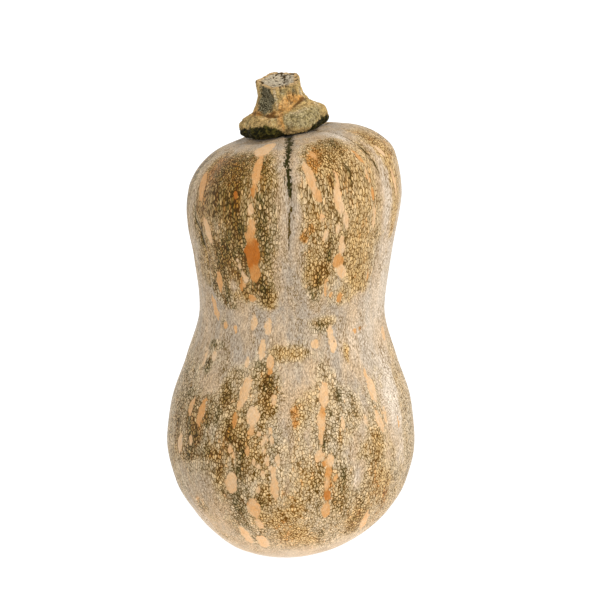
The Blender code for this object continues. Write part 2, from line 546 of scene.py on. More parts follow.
def stain(marks):
    """Soft round patches with wandering edges: (longitude, arc, half width, half height, amount)."""
    total = np.zeros(len(lon))
    for mark_lon, mark_arc, half_width, half_height, amount in marks:
        across, up = across_and_up(mark_lon, mark_arc, half_width, half_height, 0.0)
        across = across + 0.28 * wander[0] + 0.22 * fine_wander[0]
        up = up + 0.28 * wander[1] + 0.22 * fine_wander[1]
        total += amount * np.exp(-((across**2 + up**2) ** 1.3))
    return total


print("how far the edges wander:", np.round(np.abs(wander).max(axis=1), 2))

# %% Streaks of the neck, placed one by one
# Each is (longitude, arc, half width, half length, lean to the right at its top, blush).
# Blush is its colour: 0 pale cream, 0.3 peach, 0.6 orange, 1 deep orange.
NECK_STREAKS = (
    (-18.5, 294, 4.6, 7, 22, 0.16), (-19.5, 277, 2.4, 11, 3, 0.42), (-20.8, 265.5, 1.5, 4.5, 0, 0.75),
    (-22, 255.5, 1.9, 3.2, 0, 0.2), (-22, 246, 2.1, 4.5, 0, 0.35), (-23, 240, 2.7, 6, 0, 0.55),
    (-22.5, 230, 3.9, 10.5, 0, 0.95), (-21.5, 219.5, 3.0, 7, 0, 0.66), (-31, 264, 1.2, 2.8, 0, 0.9),
    (-53.5, 242.5, 3.2, 9, -25, 0.22), (-47.5, 211, 2, 7, 0, 0.38), (-55, 194, 2.7, 8, -25, 0.3),
    (-31, 209.5, 1.3, 2.6, 0, 0.62), (-30.4, 214, 1.1, 2, 0, 0.7), (-31, 222, 1.1, 2.4, 0, 0.12),
    (-29, 218, 1.3, 2, 0, 0.1), (-27.4, 214.6, 1.9, 2.4, 0, 0.14), (-28.6, 211, 1.3, 1.9, 0, 0.4),
    (-32, 226, 0.9, 1.6, 0, 0.1), (-24, 203.5, 2.1, 2.6, 0, 0.55), (-64, 268, 3.4, 9, -20, 0.42),
    (16.6, 281, 1.5, 4, -20, 0.45), (11.3, 267, 2.1, 11.5, -9, 0.24), (14, 258, 1.9, 4, -12, 0.42),
    (25, 264, 1.1, 5, -8, 0.22), (24.6, 253.5, 2.6, 7.5, -8, 0.16), (28, 242.5, 1.7, 5, -10, 0.14),
    (23.5, 239.5, 1.5, 3, 0, 0.15), (15, 246.5, 1.3, 2.5, 0, 0.25), (17, 237, 1.6, 3, 0, 0.15),
    (26.5, 233, 1.5, 3, 0, 0.15), (44.5, 273, 1.1, 6, -12, 0.5), (46, 262, 1.2, 6, -6, 0.3),
    (47.3, 252, 1.2, 4, -4, 0.6), (48, 240, 1.4, 7, -3, 0.18), (25.4, 222.5, 3.4, 3.6, 0, 0.58),
    (27, 229, 2.2, 4, 0, 0.15), (28, 217, 2.6, 4.5, -18, 0.18), (28.5, 203, 1.5, 3.2, 0, 0.55),
    (22.5, 205.5, 1.1, 2.2, 0, 0.42), (19.3, 209, 1.2, 5, 0, 0.36), (49.5, 212, 1.1, 3, 0, 0.5),
    (70.5, 252, 1.4, 9, -10, 0.2), (66, 271, 1.4, 5, -15, 0.1),
)
print("streaks on the neck:", len(NECK_STREAKS))

# %% Streaks of the waist and the bulb, placed one by one
WAIST_STREAKS = (
    (-23, 190, 1.9, 5.2, 0, 0.14), (-14.5, 188, 2.1, 4.8, 4, 0.12), (-17.5, 175, 2.1, 6.2, 6, 0.16),
    (-12, 168.5, 2.1, 4.2, -4, 0.2), (-12, 164.3, 1.7, 2.2, 0, 0.55), (-25.5, 168, 1.3, 3.2, 0, 0.1),
    (-24.2, 151.5, 2.7, 9.8, 10, 0.19), (-49.5, 167, 2.4, 3, 0, 0.12), (-57.5, 164, 1.8, 5, 5, 0.1),
    (14, 178.5, 2, 2.8, 0, 0.16), (23.6, 184, 1.7, 5, -6, 0.12), (25, 177.5, 2.6, 4.6, 0, 0.12),
    (-36, 184.5, 1.4, 2.5, 0, 0.3), (-44, 185.5, 1.6, 2.5, 0, 0.3), (41.5, 182.5, 1.5, 1.6, 0, 0.42),
    (72, 175, 2.5, 4, 0, 0.2),
)
BULB_STREAKS = (
    (-48, 136.5, 2.4, 8.2, 6, 0.44), (-57, 137, 2.3, 6.5, 4, 0.3), (-27, 136.5, 1.7, 4.7, 6, 0.62),
    (-18.5, 139.5, 3.5, 5.6, 0, 0.12), (-18.3, 133, 1.7, 4.2, 3, 0.36), (-8.5, 149, 1.5, 3, 0, 0.2),
    (-8.5, 127, 1.3, 3, 0, 0.14), (-5.5, 116.5, 1.6, 3.5, 0, 0.14), (-10.5, 116, 1.5, 3, 0, 0.14),
    (-19.8, 120.5, 1.4, 3, 0, 0.4), (-28.3, 121, 1.1, 3.2, 0, 0.24), (-26, 117.5, 1.1, 2, 0, 0.24),
    (-53, 119, 1.6, 3.5, 0, 0.18), (-62.5, 114, 2.7, 6, 5, 0.12), (-27, 101.5, 3.6, 6.8, 6, 0.2),
    (-17.5, 87, 3.9, 7, 0, 0.27), (-16, 75.5, 2.3, 4.5, -10, 0.2), (-26.5, 63, 2.8, 9, -8, 0.14),
    (-16.5, 58, 3.8, 7, 0, 0.14), (-12.3, 121.5, 1.3, 2, 0, 0.16), (-14.4, 112.5, 1.4, 2.2, 0, 0.16),
    (-12.2, 108.6, 1.4, 2, 0, 0.16), (-16.4, 114.5, 1.2, 1.9, 0, 0.16), (-9, 112, 1.3, 2, 0, 0.14),
    (-11.5, 128, 1.5, 2.2, 0, 0.16), (-14.5, 130.5, 1.3, 2, 0, 0.18), (-9.5, 132, 1.3, 2.4, 0, 0.2),
    (-12.6, 125, 1.2, 1.8, 0, 0.16), (-7, 100, 2.5, 7, -5, 0.24), (-7.5, 109, 1.6, 4, 0, 0.2),
    (-14.5, 99, 1.5, 2.5, 0, 0.2), (16.7, 151.5, 2.6, 8, 6, 0.18), (15.3, 142, 1.6, 4, 0, 0.58),
    (14.6, 137, 2.4, 6, 0, 0.2), (14, 128.5, 1.4, 5.5, 0, 0.2), (12.9, 118.5, 2.7, 3.4, 0, 0.18),
    (15.5, 114, 1.6, 1.8, 0, 0.6), (18.2, 115.5, 2.4, 3.8, 0, 0.2), (17.3, 109.5, 1.9, 3.2, 0, 0.6),
    (20.5, 105.5, 1.2, 2.6, 0, 0.4), (16.4, 102.5, 1.4, 5, 0, 0.28), (17, 95.5, 2.1, 3.8, 0, 0.8),
    (16.8, 86, 2.5, 6, 0, 0.38), (44.2, 156, 1.5, 5.5, -9, 0.14), (46.3, 149, 3.1, 7.2, -10, 0.14),
    (46.8, 131, 2.3, 8, -20, 0.14), (51.4, 134, 1.3, 5.5, 6, 0.12), (37.5, 134, 1.2, 3.5, 0, 0.1),
    (25, 135, 1.1, 4, 0, 0.1), (43.5, 71, 2.6, 9, -14, 0.24), (62, 127, 0.9, 5, 0, 0.3),
)
print("streaks on the waist and the bulb:", len(WAIST_STREAKS + BULB_STREAKS))

# %% Dark stains, placed one by one
# Each is (longitude, arc, half width, half height, amount), here and for the stains and the bloom
# that follow.
DARK_STAINS = (
    (-31, 270, 3.5, 18, 0.8), (-34, 248, 5, 9, 0.6), (-16, 249, 3.0, 12, 0.8), (-15, 233, 2.6, 9, 0.5),
    (-29, 236, 2.6, 10, 0.6), (-26, 226, 2, 4, 0.8), (-17, 210, 4, 7, 1.1), (-40, 229, 6, 8, 0.7),
    (-42, 262, 8, 12, 0.3), (-52, 208, 4, 5, 0.6), (-43, 204, 5, 5, 0.5), (-26, 207, 3, 4, 0.3),
    (-46, 222, 4, 5, 0.4), (-14, 280, 3, 6, 0.5), (-36, 284, 4, 8, 0.5), (-48, 285, 6, 5, 0.35),
    (-62, 240, 1.6, 7, 0.9), (-38, 197.5, 5, 2.4, 0.9), (-46, 187, 2.6, 2.6, 0.7),
    (-53, 173, 3.4, 2.6, 1.1), (-47, 174, 4.5, 2.2, 0.7), (-53, 162, 3.4, 4.2, 1.3),
    (-17, 167, 4, 3, 0.5), (-12, 159, 4.2, 5, 1.0), (-54, 132, 3.4, 14, 0.9), (-43, 133, 3, 4.6, 0.8),
    (-51, 123, 5, 5, 0.9), (-54, 112, 6, 5, 0.8), (-66, 135, 7, 24, 0.3), (-35, 149, 2.8, 9, 0.8),
    (-29, 129, 4, 10, 0.7), (-22.5, 114, 3.2, 12, 0.8), (-22, 125, 3, 6, 0.6), (-33, 106, 2, 6, 0.5),
    (-40, 115, 4, 3, 0.6), (-12, 149, 3.5, 9, 0.5), (-25, 86, 3, 12, 0.7), (-13, 95, 3.4, 6, 0.6),
    (-51, 79, 5, 4, 0.5), (-68, 120, 4, 8, 0.3), (-72, 150, 4, 8, 0.3), (-37, 134, 2, 8, 0.4),
    (24, 282, 3, 10, 0.4), (35, 284, 3.5, 8, 0.6), (19, 252, 3, 10, 0.2), (33, 268, 3, 8, 0.2),
    (20, 226, 2.6, 5, 0.8), (15, 213, 4.0, 9, 0.8), (12, 206, 3, 5, 0.7), (6, 238, 2, 2, 0.5),
    (18, 188, 6, 3.4, 0.8), (45.5, 183.2, 1.0, 0.7, 1.0), (24, 152, 2.8, 5, 0.8), (31.5, 143, 2, 9, 0.5),
    (15, 125, 2.4, 5, 0.9), (18.9, 142, 1.3, 3.4, 0.7), (11.5, 127, 2, 4, 0.4), (12, 106, 3, 8, 0.6),
    (24, 107, 3, 7, 0.8), (24, 93, 4, 9, 0.6), (13, 92, 2, 8, 0.4), (37, 71, 5, 10, 0.7),
    (15, 66, 6, 5, 0.35), (33, 90, 3, 7, 0.3), (42, 118, 2.6, 7, 0.3), (-68, 256, 2.2, 14, 0.4),
    (57, 263, 1.2, 6, 0.6), (54, 274, 3, 7, 0.3), (65, 280, 5, 8, 0.25), (-50, 272, 5, 9, 0.4),
    (33, 287, 8, 5, 0.4), (-40, 280, 8, 8, 0.3), (-44, 126, 12, 14, 0.15), (6, 116, 10, 34, -0.34),
    (-58, 134, 2.4, 12, 0.7), (-50, 118, 5, 6, 0.4),
)
print("dark stains:", len(DARK_STAINS))

# %% Golden and rusty stains, placed one by one
GOLD_STAINS = (
    (-14, 203, 3.4, 4.6, 1.0), (-30, 204, 7, 5, 0.6), (-14, 272, 4, 10, 0.7), (-47, 265, 16, 16, 0.6),
    (-60, 262, 6, 14, 0.5), (-32, 262, 6, 20, 0.5), (-42, 230, 7, 9, 0.6), (-58, 225, 4, 8, 0.4),
    (-50, 205, 4, 4, 0.5), (-12, 146, 4.5, 12, 0.8), (-15, 160, 5, 4, 0.6), (-28, 131, 6, 12, 1.0),
    (-18, 122, 7, 12, 0.8), (-12, 112, 4, 14, 0.7), (-38, 116, 6, 5, 0.9), (-33, 104, 3, 8, 0.9),
    (-53, 111, 6, 6, 0.9), (-50, 126, 6, 8, 0.8), (-66, 120, 8, 20, 0.4), (-35, 149, 3, 9, 0.7),
    (-11, 94, 5, 7, 1.0), (-13, 79, 7, 7, 0.8), (-6, 81, 4, 8, 0.7), (-50, 79, 6, 5, 0.6),
    (-45, 71, 5, 3, 0.5), (-24, 45, 5, 3, 0.4), (-3, 60, 8, 9, 0.5), (-66, 112, 5, 8, 0.4),
    (15, 278, 5, 9, 1.2), (24, 276, 5, 12, 0.5), (36, 276, 5, 12, 0.4), (12, 240, 5, 16, 0.5),
    (15, 216, 5, 8, 0.8), (5, 237, 2.4, 3.4, 0.8), (38, 258, 8, 12, 0.4), (34, 228, 9, 12, 0.4),
    (42, 240, 9, 14, 0.3), (36, 210, 9, 7, 0.6), (28, 203, 5, 4, 0.5), (20, 190, 6, 3.4, 1.1),
    (33.8, 171, 2.8, 9, 1.3), (-7, 174, 6, 4, 1.0), (3, 173.5, 6, 4, 1.1), (48, 184, 5, 1.6, 0.6),
    (8, 150, 5, 6, 0.5), (3, 141, 4, 8, 1.0), (23, 127, 1.8, 6, 0.8), (43, 119, 5, 9, 1.0),
    (36, 118, 4, 4, 0.5), (8, 104, 4, 9, 0.8), (16, 105, 6, 12, 0.7), (24, 94, 5, 9, 0.6),
    (43, 98, 7, 11, 1.0), (36, 76, 7, 13, 1.2), (6, 68, 5, 8, 0.8), (3, 88, 5, 9, 0.8),
    (13, 60, 5.5, 5, 0.7), (52, 90, 6, 10, 0.7), (56, 74, 6, 8, 0.4), (33, 141, 3, 7, 0.4),
    (70, 272, 7, 14, 0.8), (71, 234, 4, 7, 0.8), (40, 155, 3, 5, 0.3), (0, 118, 6, 30, 0.3),
    (-1, 76, 7, 16, 0.6), (-54, 130, 5, 14, 0.8), (-58, 270, 7, 13, 0.5), (-40, 285, 9, 6, 0.4),
    (72, 246, 4, 9, 0.6), (-56, 280, 6, 10, 0.9), (6, 112, 10, 30, 0.32), (-36, 262, 4, 16, 0.5),
)
RUST_STAINS = (
    (16, 279, 5, 9, 1.0), (-30, 262, 3, 7, 0.7), (-62, 264, 5, 12, 0.7), (17, 104, 3, 14, 0.8),
    (-28, 131, 4, 8, 0.6), (5, 237, 2.6, 3, 0.9), (2, 140, 3, 7, 0.8), (-47, 137, 3, 9, 0.5),
    (25, 222, 4, 5, 0.5), (-22, 229, 5, 12, 0.5), (-20, 271, 4.4, 13, 0.5), (48, 183, 6, 1.6, 0.8),
    (-52, 84, 5, 4, 0.4), (-27, 120, 3, 6, 0.4), (42, 232, 4, 8, 0.3), (-9, 160, 3, 5, 0.3),
    (-56, 281, 5, 9, 0.8), (-38, 256, 3, 12, 0.4), (-35, 280, 2.5, 8, 0.4),
)
print("golden and rusty stains:", len(GOLD_STAINS + RUST_STAINS))

# %% Bloom and frost, placed one by one
BLOOM_PATCHES = (
    (-1, 262, 5, 34, 0.8), (-3, 215, 7, 22, 0.7), (-1, 104, 6, 24, 0.4), (-2, 138, 5, 14, 0.7),
    (-42, 243, 6, 6, 0.7), (-55, 244, 4, 6, 0.8), (-37, 209, 3.4, 5, 1.3), (-29, 258, 3, 4, 0.3),
    (-44, 155, 8, 8, 0.9), (-46, 250, 5, 5, 0.6), (-50, 224, 4, 6, 0.5), (-33, 187, 12, 8, 0.9),
    (-62, 187, 8, 14, 0.8), (-39, 128, 3.0, 7, 0.7), (-62, 98, 9, 7, 0.6), (-44, 97, 9, 8, 0.8),
    (-36, 84, 7, 8, 0.7), (-15, 103, 3, 3, 0.6), (-24, 68, 4, 6, 0.4), (32, 105, 4, 9, 1.1),
    (28, 120, 5, 8, 0.9), (34, 130, 5, 8, 0.7), (39, 142, 4, 8, 0.6), (60, 135, 9, 34, 1.0),
    (50, 112, 3, 8, 0.5), (26, 213, 4, 4.5, 1.0), (33, 188, 9, 9, 1.0), (26, 170, 5, 9, 0.8),
    (44, 170, 7, 14, 0.9), (60, 190, 12, 18, 0.9), (42, 240, 10, 40, 0.35), (62, 250, 5, 26, 1.0),
    (47, 290, 7, 10, 1.2), (56, 262, 4, 14, 0.5), (64, 215, 8, 14, 0.6), (-46, 298, 18, 4, 0.5),
    (3, 296, 9, 8, 0.8), (27, 298, 16, 5, 0.9), (-2, 150, 6, 14, 0.7), (30, 72, 3, 8, 0.5),
    (-50, 78, 14, 14, 0.9), (-64, 70, 10, 16, 0.8), (-38, 66, 8, 8, 0.7), (-8, 190, 10, 9, 0.7),
    (8, 198, 6, 6, 0.4), (-30, 172, 6, 6, 0.7), (6, 156, 6, 11, 0.9), (-1, 120, 4, 26, 0.35),
    (30, 162, 7, 8, 0.7), (41, 160, 6, 10, 0.8), (8, 128, 3, 6, 0.5), (36, 150, 4, 7, 0.5),
    (29, 148, 3, 6, 0.4), (52, 140, 5, 14, 0.4), (80, 222, 11, 24, 1.2), (83, 250, 8, 14, 0.8),
    (-54, 149, 7, 8, 0.6),
)
FROST_PATCHES = (
    (47, 291, 6, 9, 1.0), (62, 250, 4, 26, 0.8), (66, 130, 9, 40, 0.6), (54, 150, 8, 30, 0.4),
    (72, 215, 9, 30, 0.8), (55, 195, 12, 20, 0.4), (30, 104, 4, 8, 0.5), (-62, 55, 12, 14, 0.8),
    (62, 60, 12, 16, 0.7), (-37, 209, 3, 5, 0.4), (-76, 235, 5, 40, 0.5), (40, 175, 8, 10, 0.3),
    (-15, 103, 2.4, 2.4, 0.6), (62, 142, 9, 24, 0.5), (72, 110, 6, 16, 0.4),
)
print("patches of bloom and frost:", len(BLOOM_PATCHES + FROST_PATCHES))

# %% Marks of the sides and the back, drawn with a seed
draw = np.random.default_rng(7)
BACK_FROM, BACK_TO = 78.0, 282.0


def drawn(count, arc_from, arc_to, widths, lengths, last):
    """So many marks on the hidden side, with their sizes between the limits given."""
    rows = np.stack([
        draw.uniform(BACK_FROM, BACK_TO, count), draw.uniform(arc_from, arc_to, count),
        draw.uniform(*widths, count), draw.uniform(*lengths, count),
        draw.uniform(*last, count),
    ], -1)
    return [tuple(row) for row in rows]


def with_lean(marks):
    return [(*mark[:4], draw.uniform(-10.0, 10.0), mark[4]) for mark in marks]


back_streaks = with_lean(
    drawn(26, 208, 285, (1.3, 3.6), (3.5, 11), (0.1, 0.75))
    + drawn(22, 60, 155, (1.4, 3.6), (4, 10), (0.1, 0.6))
    + drawn(14, 150, 205, (1.3, 2.4), (3, 6), (0.08, 0.2))
)
# A streak on the fruit's outline would show as a plain strip, so only those behind it are kept
HIDDEN_FROM, HIDDEN_TO = 94.0, 270.0
back_streaks = [mark for mark in back_streaks if HIDDEN_FROM < mark[0] < HIDDEN_TO]
back_dark = drawn(26, 205, 285, (3, 7), (5, 12), (0.35, 0.9)) + drawn(
    30, 70, 160, (2.5, 5.5), (4, 12), (0.35, 0.95))
back_gold = drawn(22, 205, 280, (4, 9), (5, 12), (0.3, 0.9)) + drawn(
    26, 60, 175, (3, 7), (4, 10), (0.3, 0.9))
back_bloom = drawn(26, 60, 200, (4, 10), (6, 14), (0.4, 0.95))
print("marks drawn for the back:", len(back_streaks + back_dark + back_gold + back_bloom))

# %% [markdown]
# ## From marks to traits
#
# Stains add up on a base that every rib shares: net thick on the neck's ribs and moderate on the
# bulb, bloom in the grooves, round the seat and over the waist. Behind, the neck's net hangs down
# further on some ribs than on others. A streak is a lens: its edge is where its width, which
# narrows towards both ends, is used up. Keeping the millimetres to that edge, and not a plain yes
# or no, lets the shader tear the edge along the cells of the net.

# %% Ribs and grooves in the skin's colours
# How dusky each rib is: (longitude, amount). How pale each groove: (longitude, half width, amount).
RIB_DUSK = ((-34.0, 0.52), (27.0, 0.06), (88.0, 0.0), (150.0, 0.25), (208.0, 0.35), (268.0, 0.30))
RIB_HALF_WIDTH = 26.0
rib_dusk = sum(amount * bumps_at((place,), lon, RIB_HALF_WIDTH) for place, amount in RIB_DUSK)
PALE_GROOVES = ((-0.8, 8.0, 1.0), (57.0, 5.0, 0.5), (118.0, 8.0, 1.0), (181.0, 8.0, 1.0),
                (238.0, 8.0, 1.0), (288.0, 6.0, 1.0))
ragged_lon = lon + 3.5 * wander[0] + 2.5 * fine_wander[0]
groove = sum(share * bumps_at((place,), ragged_lon, width) for place, width, share in PALE_GROOVES)
# How many millimetres lower the neck's net ends behind: (longitude, drop)
EDGE_DROPS = ((88.0, 13.0), (118.0, -13.0), (150.0, 17.0), (181.0, -12.0), (210.0, 6.0),
              (238.0, -14.0), (266.0, 14.0))
DROP_HALF_WIDTH = 15.0
edge_drop = sum(drop * bumps_at((place,), lon, DROP_HALF_WIDTH) for place, drop in EDGE_DROPS)
edge_drop = edge_drop + 9.0 * lumps(ray_place, 14.0, 7) + 5.0 * rays
print("the neck's edge drops by:", np.round([edge_drop.min(), edge_drop.max()], 1), "mm")

# %% Bands up the skin
# Each band is the two arcs between which it sets in or ends.
NECK_SETS_IN, NECK_ENDS = (199.0, 211.0), (286.0, 301.0)
BULB_SETS_IN, BULB_ENDS = (36.0, 64.0), (150.0, 180.0)
CROWN_SETS_IN, VALLEY_SETS_IN = (286.0, 298.0), (240.0, 275.0)
UNDER_ENDS, LOW_ENDS = (22.0, 66.0), (50.0, 100.0)
BEHIND_FROM, BEHIND_TO = 65.0, 95.0
SOFTER_BEHIND = 16.0

behind = smooth_step(BEHIND_FROM, BEHIND_TO, np.abs(off_by(lon, 0.0)))
neck_edge = arc + 7.0 * wander[1] + 4.0 * rays + behind * edge_drop
neck = smooth_step(NECK_SETS_IN[0], NECK_SETS_IN[1] + SOFTER_BEHIND * behind, neck_edge)
neck *= 1.0 - smooth_step(*NECK_ENDS, arc + 4.0 * wander[0] + 6.0 * rays)
bulb = smooth_step(*BULB_SETS_IN, arc + 8.0 * wander[1])
bulb *= 1.0 - smooth_step(*BULB_ENDS, arc + 9.0 * wander[0])
crown = smooth_step(*CROWN_SETS_IN, arc)
under = 1.0 - smooth_step(*UNDER_ENDS, arc + 10.0 * wander[0])
# low: where the lower bulb is lightened, partly its own paler blossom end and partly painted light from
# the bright floor below
low = 1.0 - smooth_step(*LOW_ENDS, arc)
# valley: where painted shade darkens the grooves towards the crown
valley = bumps_at(GROOVES[1:], ragged_lon, 5.0) * smooth_step(*VALLEY_SETS_IN, arc)
rib = neck * (1.0 - groove)
print("share of the skin on the neck's ribs:", round(float(rib.mean()), 2))

# %% Grow the stains and the bloom
dark = stain(DARK_STAINS + tuple(back_dark))
gold_stain = stain(GOLD_STAINS + tuple(back_gold))
pale = stain(BLOOM_PATCHES + tuple(back_bloom))
frost, rust = stain(FROST_PATCHES), stain(RUST_STAINS)

bloom = 0.62 - 0.6 * rib - 0.48 * bulb + 0.15 * crown
bloom = bloom + 0.6 * pale - 0.9 * dark - 0.7 * gold_stain - 0.4 * rust
net = 0.35 + 0.35 * rib + 0.30 * bulb
net = net + 0.3 * dark + 0.35 * gold_stain - 0.3 * pale + 0.15 * crown - 0.3 * under
dusk = 0.08 + 0.15 * rib + (neck + 0.5 * bulb) * rib_dusk
dusk = dusk + 0.8 * dark - 0.3 * pale
gold = 0.15 + 0.5 * rib + 0.15 * bulb + 0.7 * gold_stain - 0.2 * pale
print("mean net:", round(float(net.mean()), 2), "mean bloom:", round(float(bloom.mean()), 2))

# %% Grow the streaks
all_streaks = NECK_STREAKS + WAIST_STREAKS + BULB_STREAKS + tuple(back_streaks)
FAR = 6.0
streak = np.full(len(lon), -FAR)
blush_sum = np.zeros(len(lon))
blush_weight = np.full(len(lon), 1e-6)
for mark_lon, mark_arc, half_width, half_length, lean, blush_tone in all_streaks:
    across, up = across_and_up(mark_lon, mark_arc, half_width, half_length, lean)
    across = across + 0.22 * fine_wander[0] + 0.1 * wander[1]
    inside = half_width * (1.0 - np.abs(up) ** 2.4 - np.abs(across) ** 1.5)
    inside = np.clip(inside, -FAR, FAR)
    weight = np.exp(1.8 * inside)
    streak = np.maximum(streak, inside)
    blush_sum += weight * blush_tone
    blush_weight += weight
blush = blush_sum / blush_weight
print("share of the skin under streaks:", round(float((streak > 0).mean()), 3))

# %% [markdown]
# ## The dark seams of the grooves
#
# From the stem down the front groove runs a broken, nearly black line: thick with ragged sides near
# the stem, then a hair line that dies out above the waist. The other grooves have shorter, thinner
# ones. Each is a route on the same map, with a half width at each arc. The mesh carries the signed
# way off the nearest route, which is a plain slope across it, so that even a line thinner than
# the mesh's faces stays whole between their points.

# %% Draw the seams
FRONT_SEAM = ((230, -2.5), (245, -2.5), (250, -2.0), (257, -0.3), (263, -1.0), (270, -1.2), (280, -0.6),
              (285, 0.2), (290, 2.0), (295, 3.0), (300, 4.0), (312, 5.0))
FRONT_SEAM_WIDTH = ((228, 0.0), (233, 0.5), (245, 0.7), (258, 0.8), (262, 1.5), (270, 1.4),
                    (280, 1.5), (290, 1.9), (300, 2.0), (316, 1.8))
LEFT_SEAM = ((228, -58.0), (240, -62.0), (248, -68.0), (260, -71.0), (280, -71.0))
LEFT_SEAM_WIDTH = ((226, 0.0), (232, 0.9), (246, 1.0), (252, 0.3), (262, 0.2), (270, 0.0))
RIGHT_SEAM = ((240, 62.0), (258, 58.5), (270, 54.5), (286, 53.0), (300, 52.0))
RIGHT_SEAM_WIDTH = ((256, 0.0), (263, 0.5), (273, 0.6), (285, 0.35), (303, 0.25))
seam_off = np.full(len(lon), FAR)
seam_width = np.zeros(len(lon))
back_seams = [
    (((240, place - 2.0), (275, place + 1.5), (312, place)),
     ((246, 0.0), (252, 0.4), (275, 0.8), (300, 1.3), (312, 1.4)))
    for place in GROOVES[2:5]
]
for route, widths in [(FRONT_SEAM, FRONT_SEAM_WIDTH), (LEFT_SEAM, LEFT_SEAM_WIDTH),
                      (RIGHT_SEAM, RIGHT_SEAM_WIDTH)] + back_seams:
    off = np.clip(off_by(lon, along(route, arc)) * millimetres_per_degree, -FAR, FAR)
    nearer = np.abs(off) < np.abs(seam_off)
    seam_off = np.where(nearer, off, seam_off)
    seam_width = np.where(nearer, along(widths, arc), seam_width)
seam = seam_width - np.abs(seam_off)
print("points inside a seam:", int((seam > 0).sum()))

# %% [markdown]
# ## Low relief
#
# The skin is smooth but not perfect: broad shallow lumps, a pressed seam in each groove, a moat
# round the seat where the stem's collar sits, and fine folds that run into the blossom scar.
# Every push goes inwards, so the finished fruit keeps the plain solid's size.

# %% Press the relief into the skin
LUMP_DEPTH, FINE_LUMP_DEPTH = 0.22, 0.07
SEAM_DEPTH = 0.7
MOAT_DEPTH, MOAT_RADIUS, MOAT_HALF_WIDTH = 1.2, 25.5, 3.0
FOLD_COUNT, FOLD_DEPTH = 23.0, 0.35
# Inside this arc the skin has the scar's folds and nothing else
SCAR_ARC = 12.0
lump_relief = LUMP_DEPTH * (lumps(skin, 24.0, 11) - 1.0)
lump_relief = lump_relief + FINE_LUMP_DEPTH * (lumps(skin, 8.0, 12) - 1.0)
seam_relief = -SEAM_DEPTH * smooth_step(-1.6, 0.6, seam)
moat = np.exp(-(((radius - MOAT_RADIUS) / MOAT_HALF_WIDTH) ** 2))
moat_relief = -MOAT_DEPTH * moat * smooth_step(300.0, 306.0, arc)
fold = np.cos(np.radians(lon * FOLD_COUNT) + 2.0 * wander[0])
scar_relief = FOLD_DEPTH * (fold - 1.0) * np.exp(-(((arc - 7.0) / 3.5) ** 2))
above_foot = smooth_step(0.0, 3.0, skin[:, 2])
relief = above_foot * (lump_relief + seam_relief + moat_relief) + 0.6 * scar_relief
relief = np.where(arc < SCAR_ARC, scar_relief, relief)
finished_skin = skin + relief[:, None] * facing
print("deepest relief in millimetres:", round(float(relief.min()), 2))

# %% Make the fruit's mesh and hand it its traits
def carry(mesh, traits):
    """Stores one number a point for each trait."""
    for name, values in traits.items():
        layer = mesh.attributes.new(name, "FLOAT", "POINT")
        layer.data.foreach_set("value", np.asarray(values, np.float32))


def carry_place(mesh, name, places):
    layer = mesh.attributes.new(name, "FLOAT_VECTOR", "POINT")
    layer.data.foreach_set("vector", np.asarray(places, np.float32).ravel())


# The net's own height at each arc, and how much wider than the skin it is there
GRAIN = ((0, 0), (60, 42), (160, 112), (200, 137), (250, 167), (300, 190), (330, 204))
GRAIN_WIDTH = ((160, 1.0), (205, 1.2), (250, 1.22), (285, 1.4))
grain_round = radius * along(GRAIN_WIDTH, arc)
grain = np.stack([grain_round * np.sin(angle), -grain_round * np.cos(angle), along(GRAIN, arc)], -1)
fruit_mesh = closed_net("fruit_skin", finished_skin, FRUIT_SIDES)
carry(fruit_mesh, {
    "net": net, "dusk": dusk, "gold": gold, "bloom": bloom,
    "streak": streak, "blush": blush, "under": under, "low": low, "frost": frost, "rust": rust,
    # shade: painted shade on the crown and in the grooves' valleys
    "shade": crown + 1.6 * valley,
    "seam_off": seam_off, "seam_width": seam_width,
})
carry_place(fruit_mesh, "grain", grain)
fruit = bpy.data.objects.new("fruit_skin", fruit_mesh)
scene.collection.objects.link(fruit)
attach(fruit, "root")
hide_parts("fruit")
print("faces on the fruit:", len(fruit_mesh.polygons))

# %% [markdown]
# ## The rind
#
# The net is a Voronoi pattern: each cell is a pale fleck and the gaps between cells are the corky
# lines. Its coordinates are stored on the mesh. Up the neck they pass more slowly, and round it
# faster, which draws the cells out lengthwise there. Where the net is strong and dark the lines
# widen until only dots of the flecks are left. Each cell also has a number of its own, and adding
# a little of it to a mask before the step makes stains and streaks end along whole cells, as they
# do on the real rind. Over the net lies the bloom, whose film hides it and wears off in dashes.

# %% The net's cells and lines
rind = Paint("net_rind", 0.50)
grain_place = rind.place("grain")
long_place = rind.stretched(grain_place, 0.5)
strayed = rind.stray(rind.stray(grain_place, 4.0, 0.8), 1.6, 0.35)
CELL_SIZE = 1.5
cell_lot = rind.cells(strayed, CELL_SIZE, "F1", "Color")
lot = rind.channel(cell_lot, "Red")
second_lot = rind.channel(cell_lot, "Green")
edge = rind.cells(strayed, CELL_SIZE, "DISTANCE_TO_EDGE", "Distance")
mottle = rind.cloud(long_place, 5.0, 3.0) - 0.5
speckle = rind.cloud(long_place, 1.9, 2.0) - 0.5
grit = rind.cloud(rind.stretched(grain_place, 0.6), 0.55, 1.0) - 0.5
drift = rind.cloud(long_place, 16.0, 2.0) - 0.5
thread = rind.cloud(rind.stretched(grain_place, 0.2), 0.5, 1.0) - 0.5

net_here = (rind.trait("net") + mottle * 0.9 + speckle * 0.5).held()
print("nodes in the rind so far:", len(rind.tree.nodes))

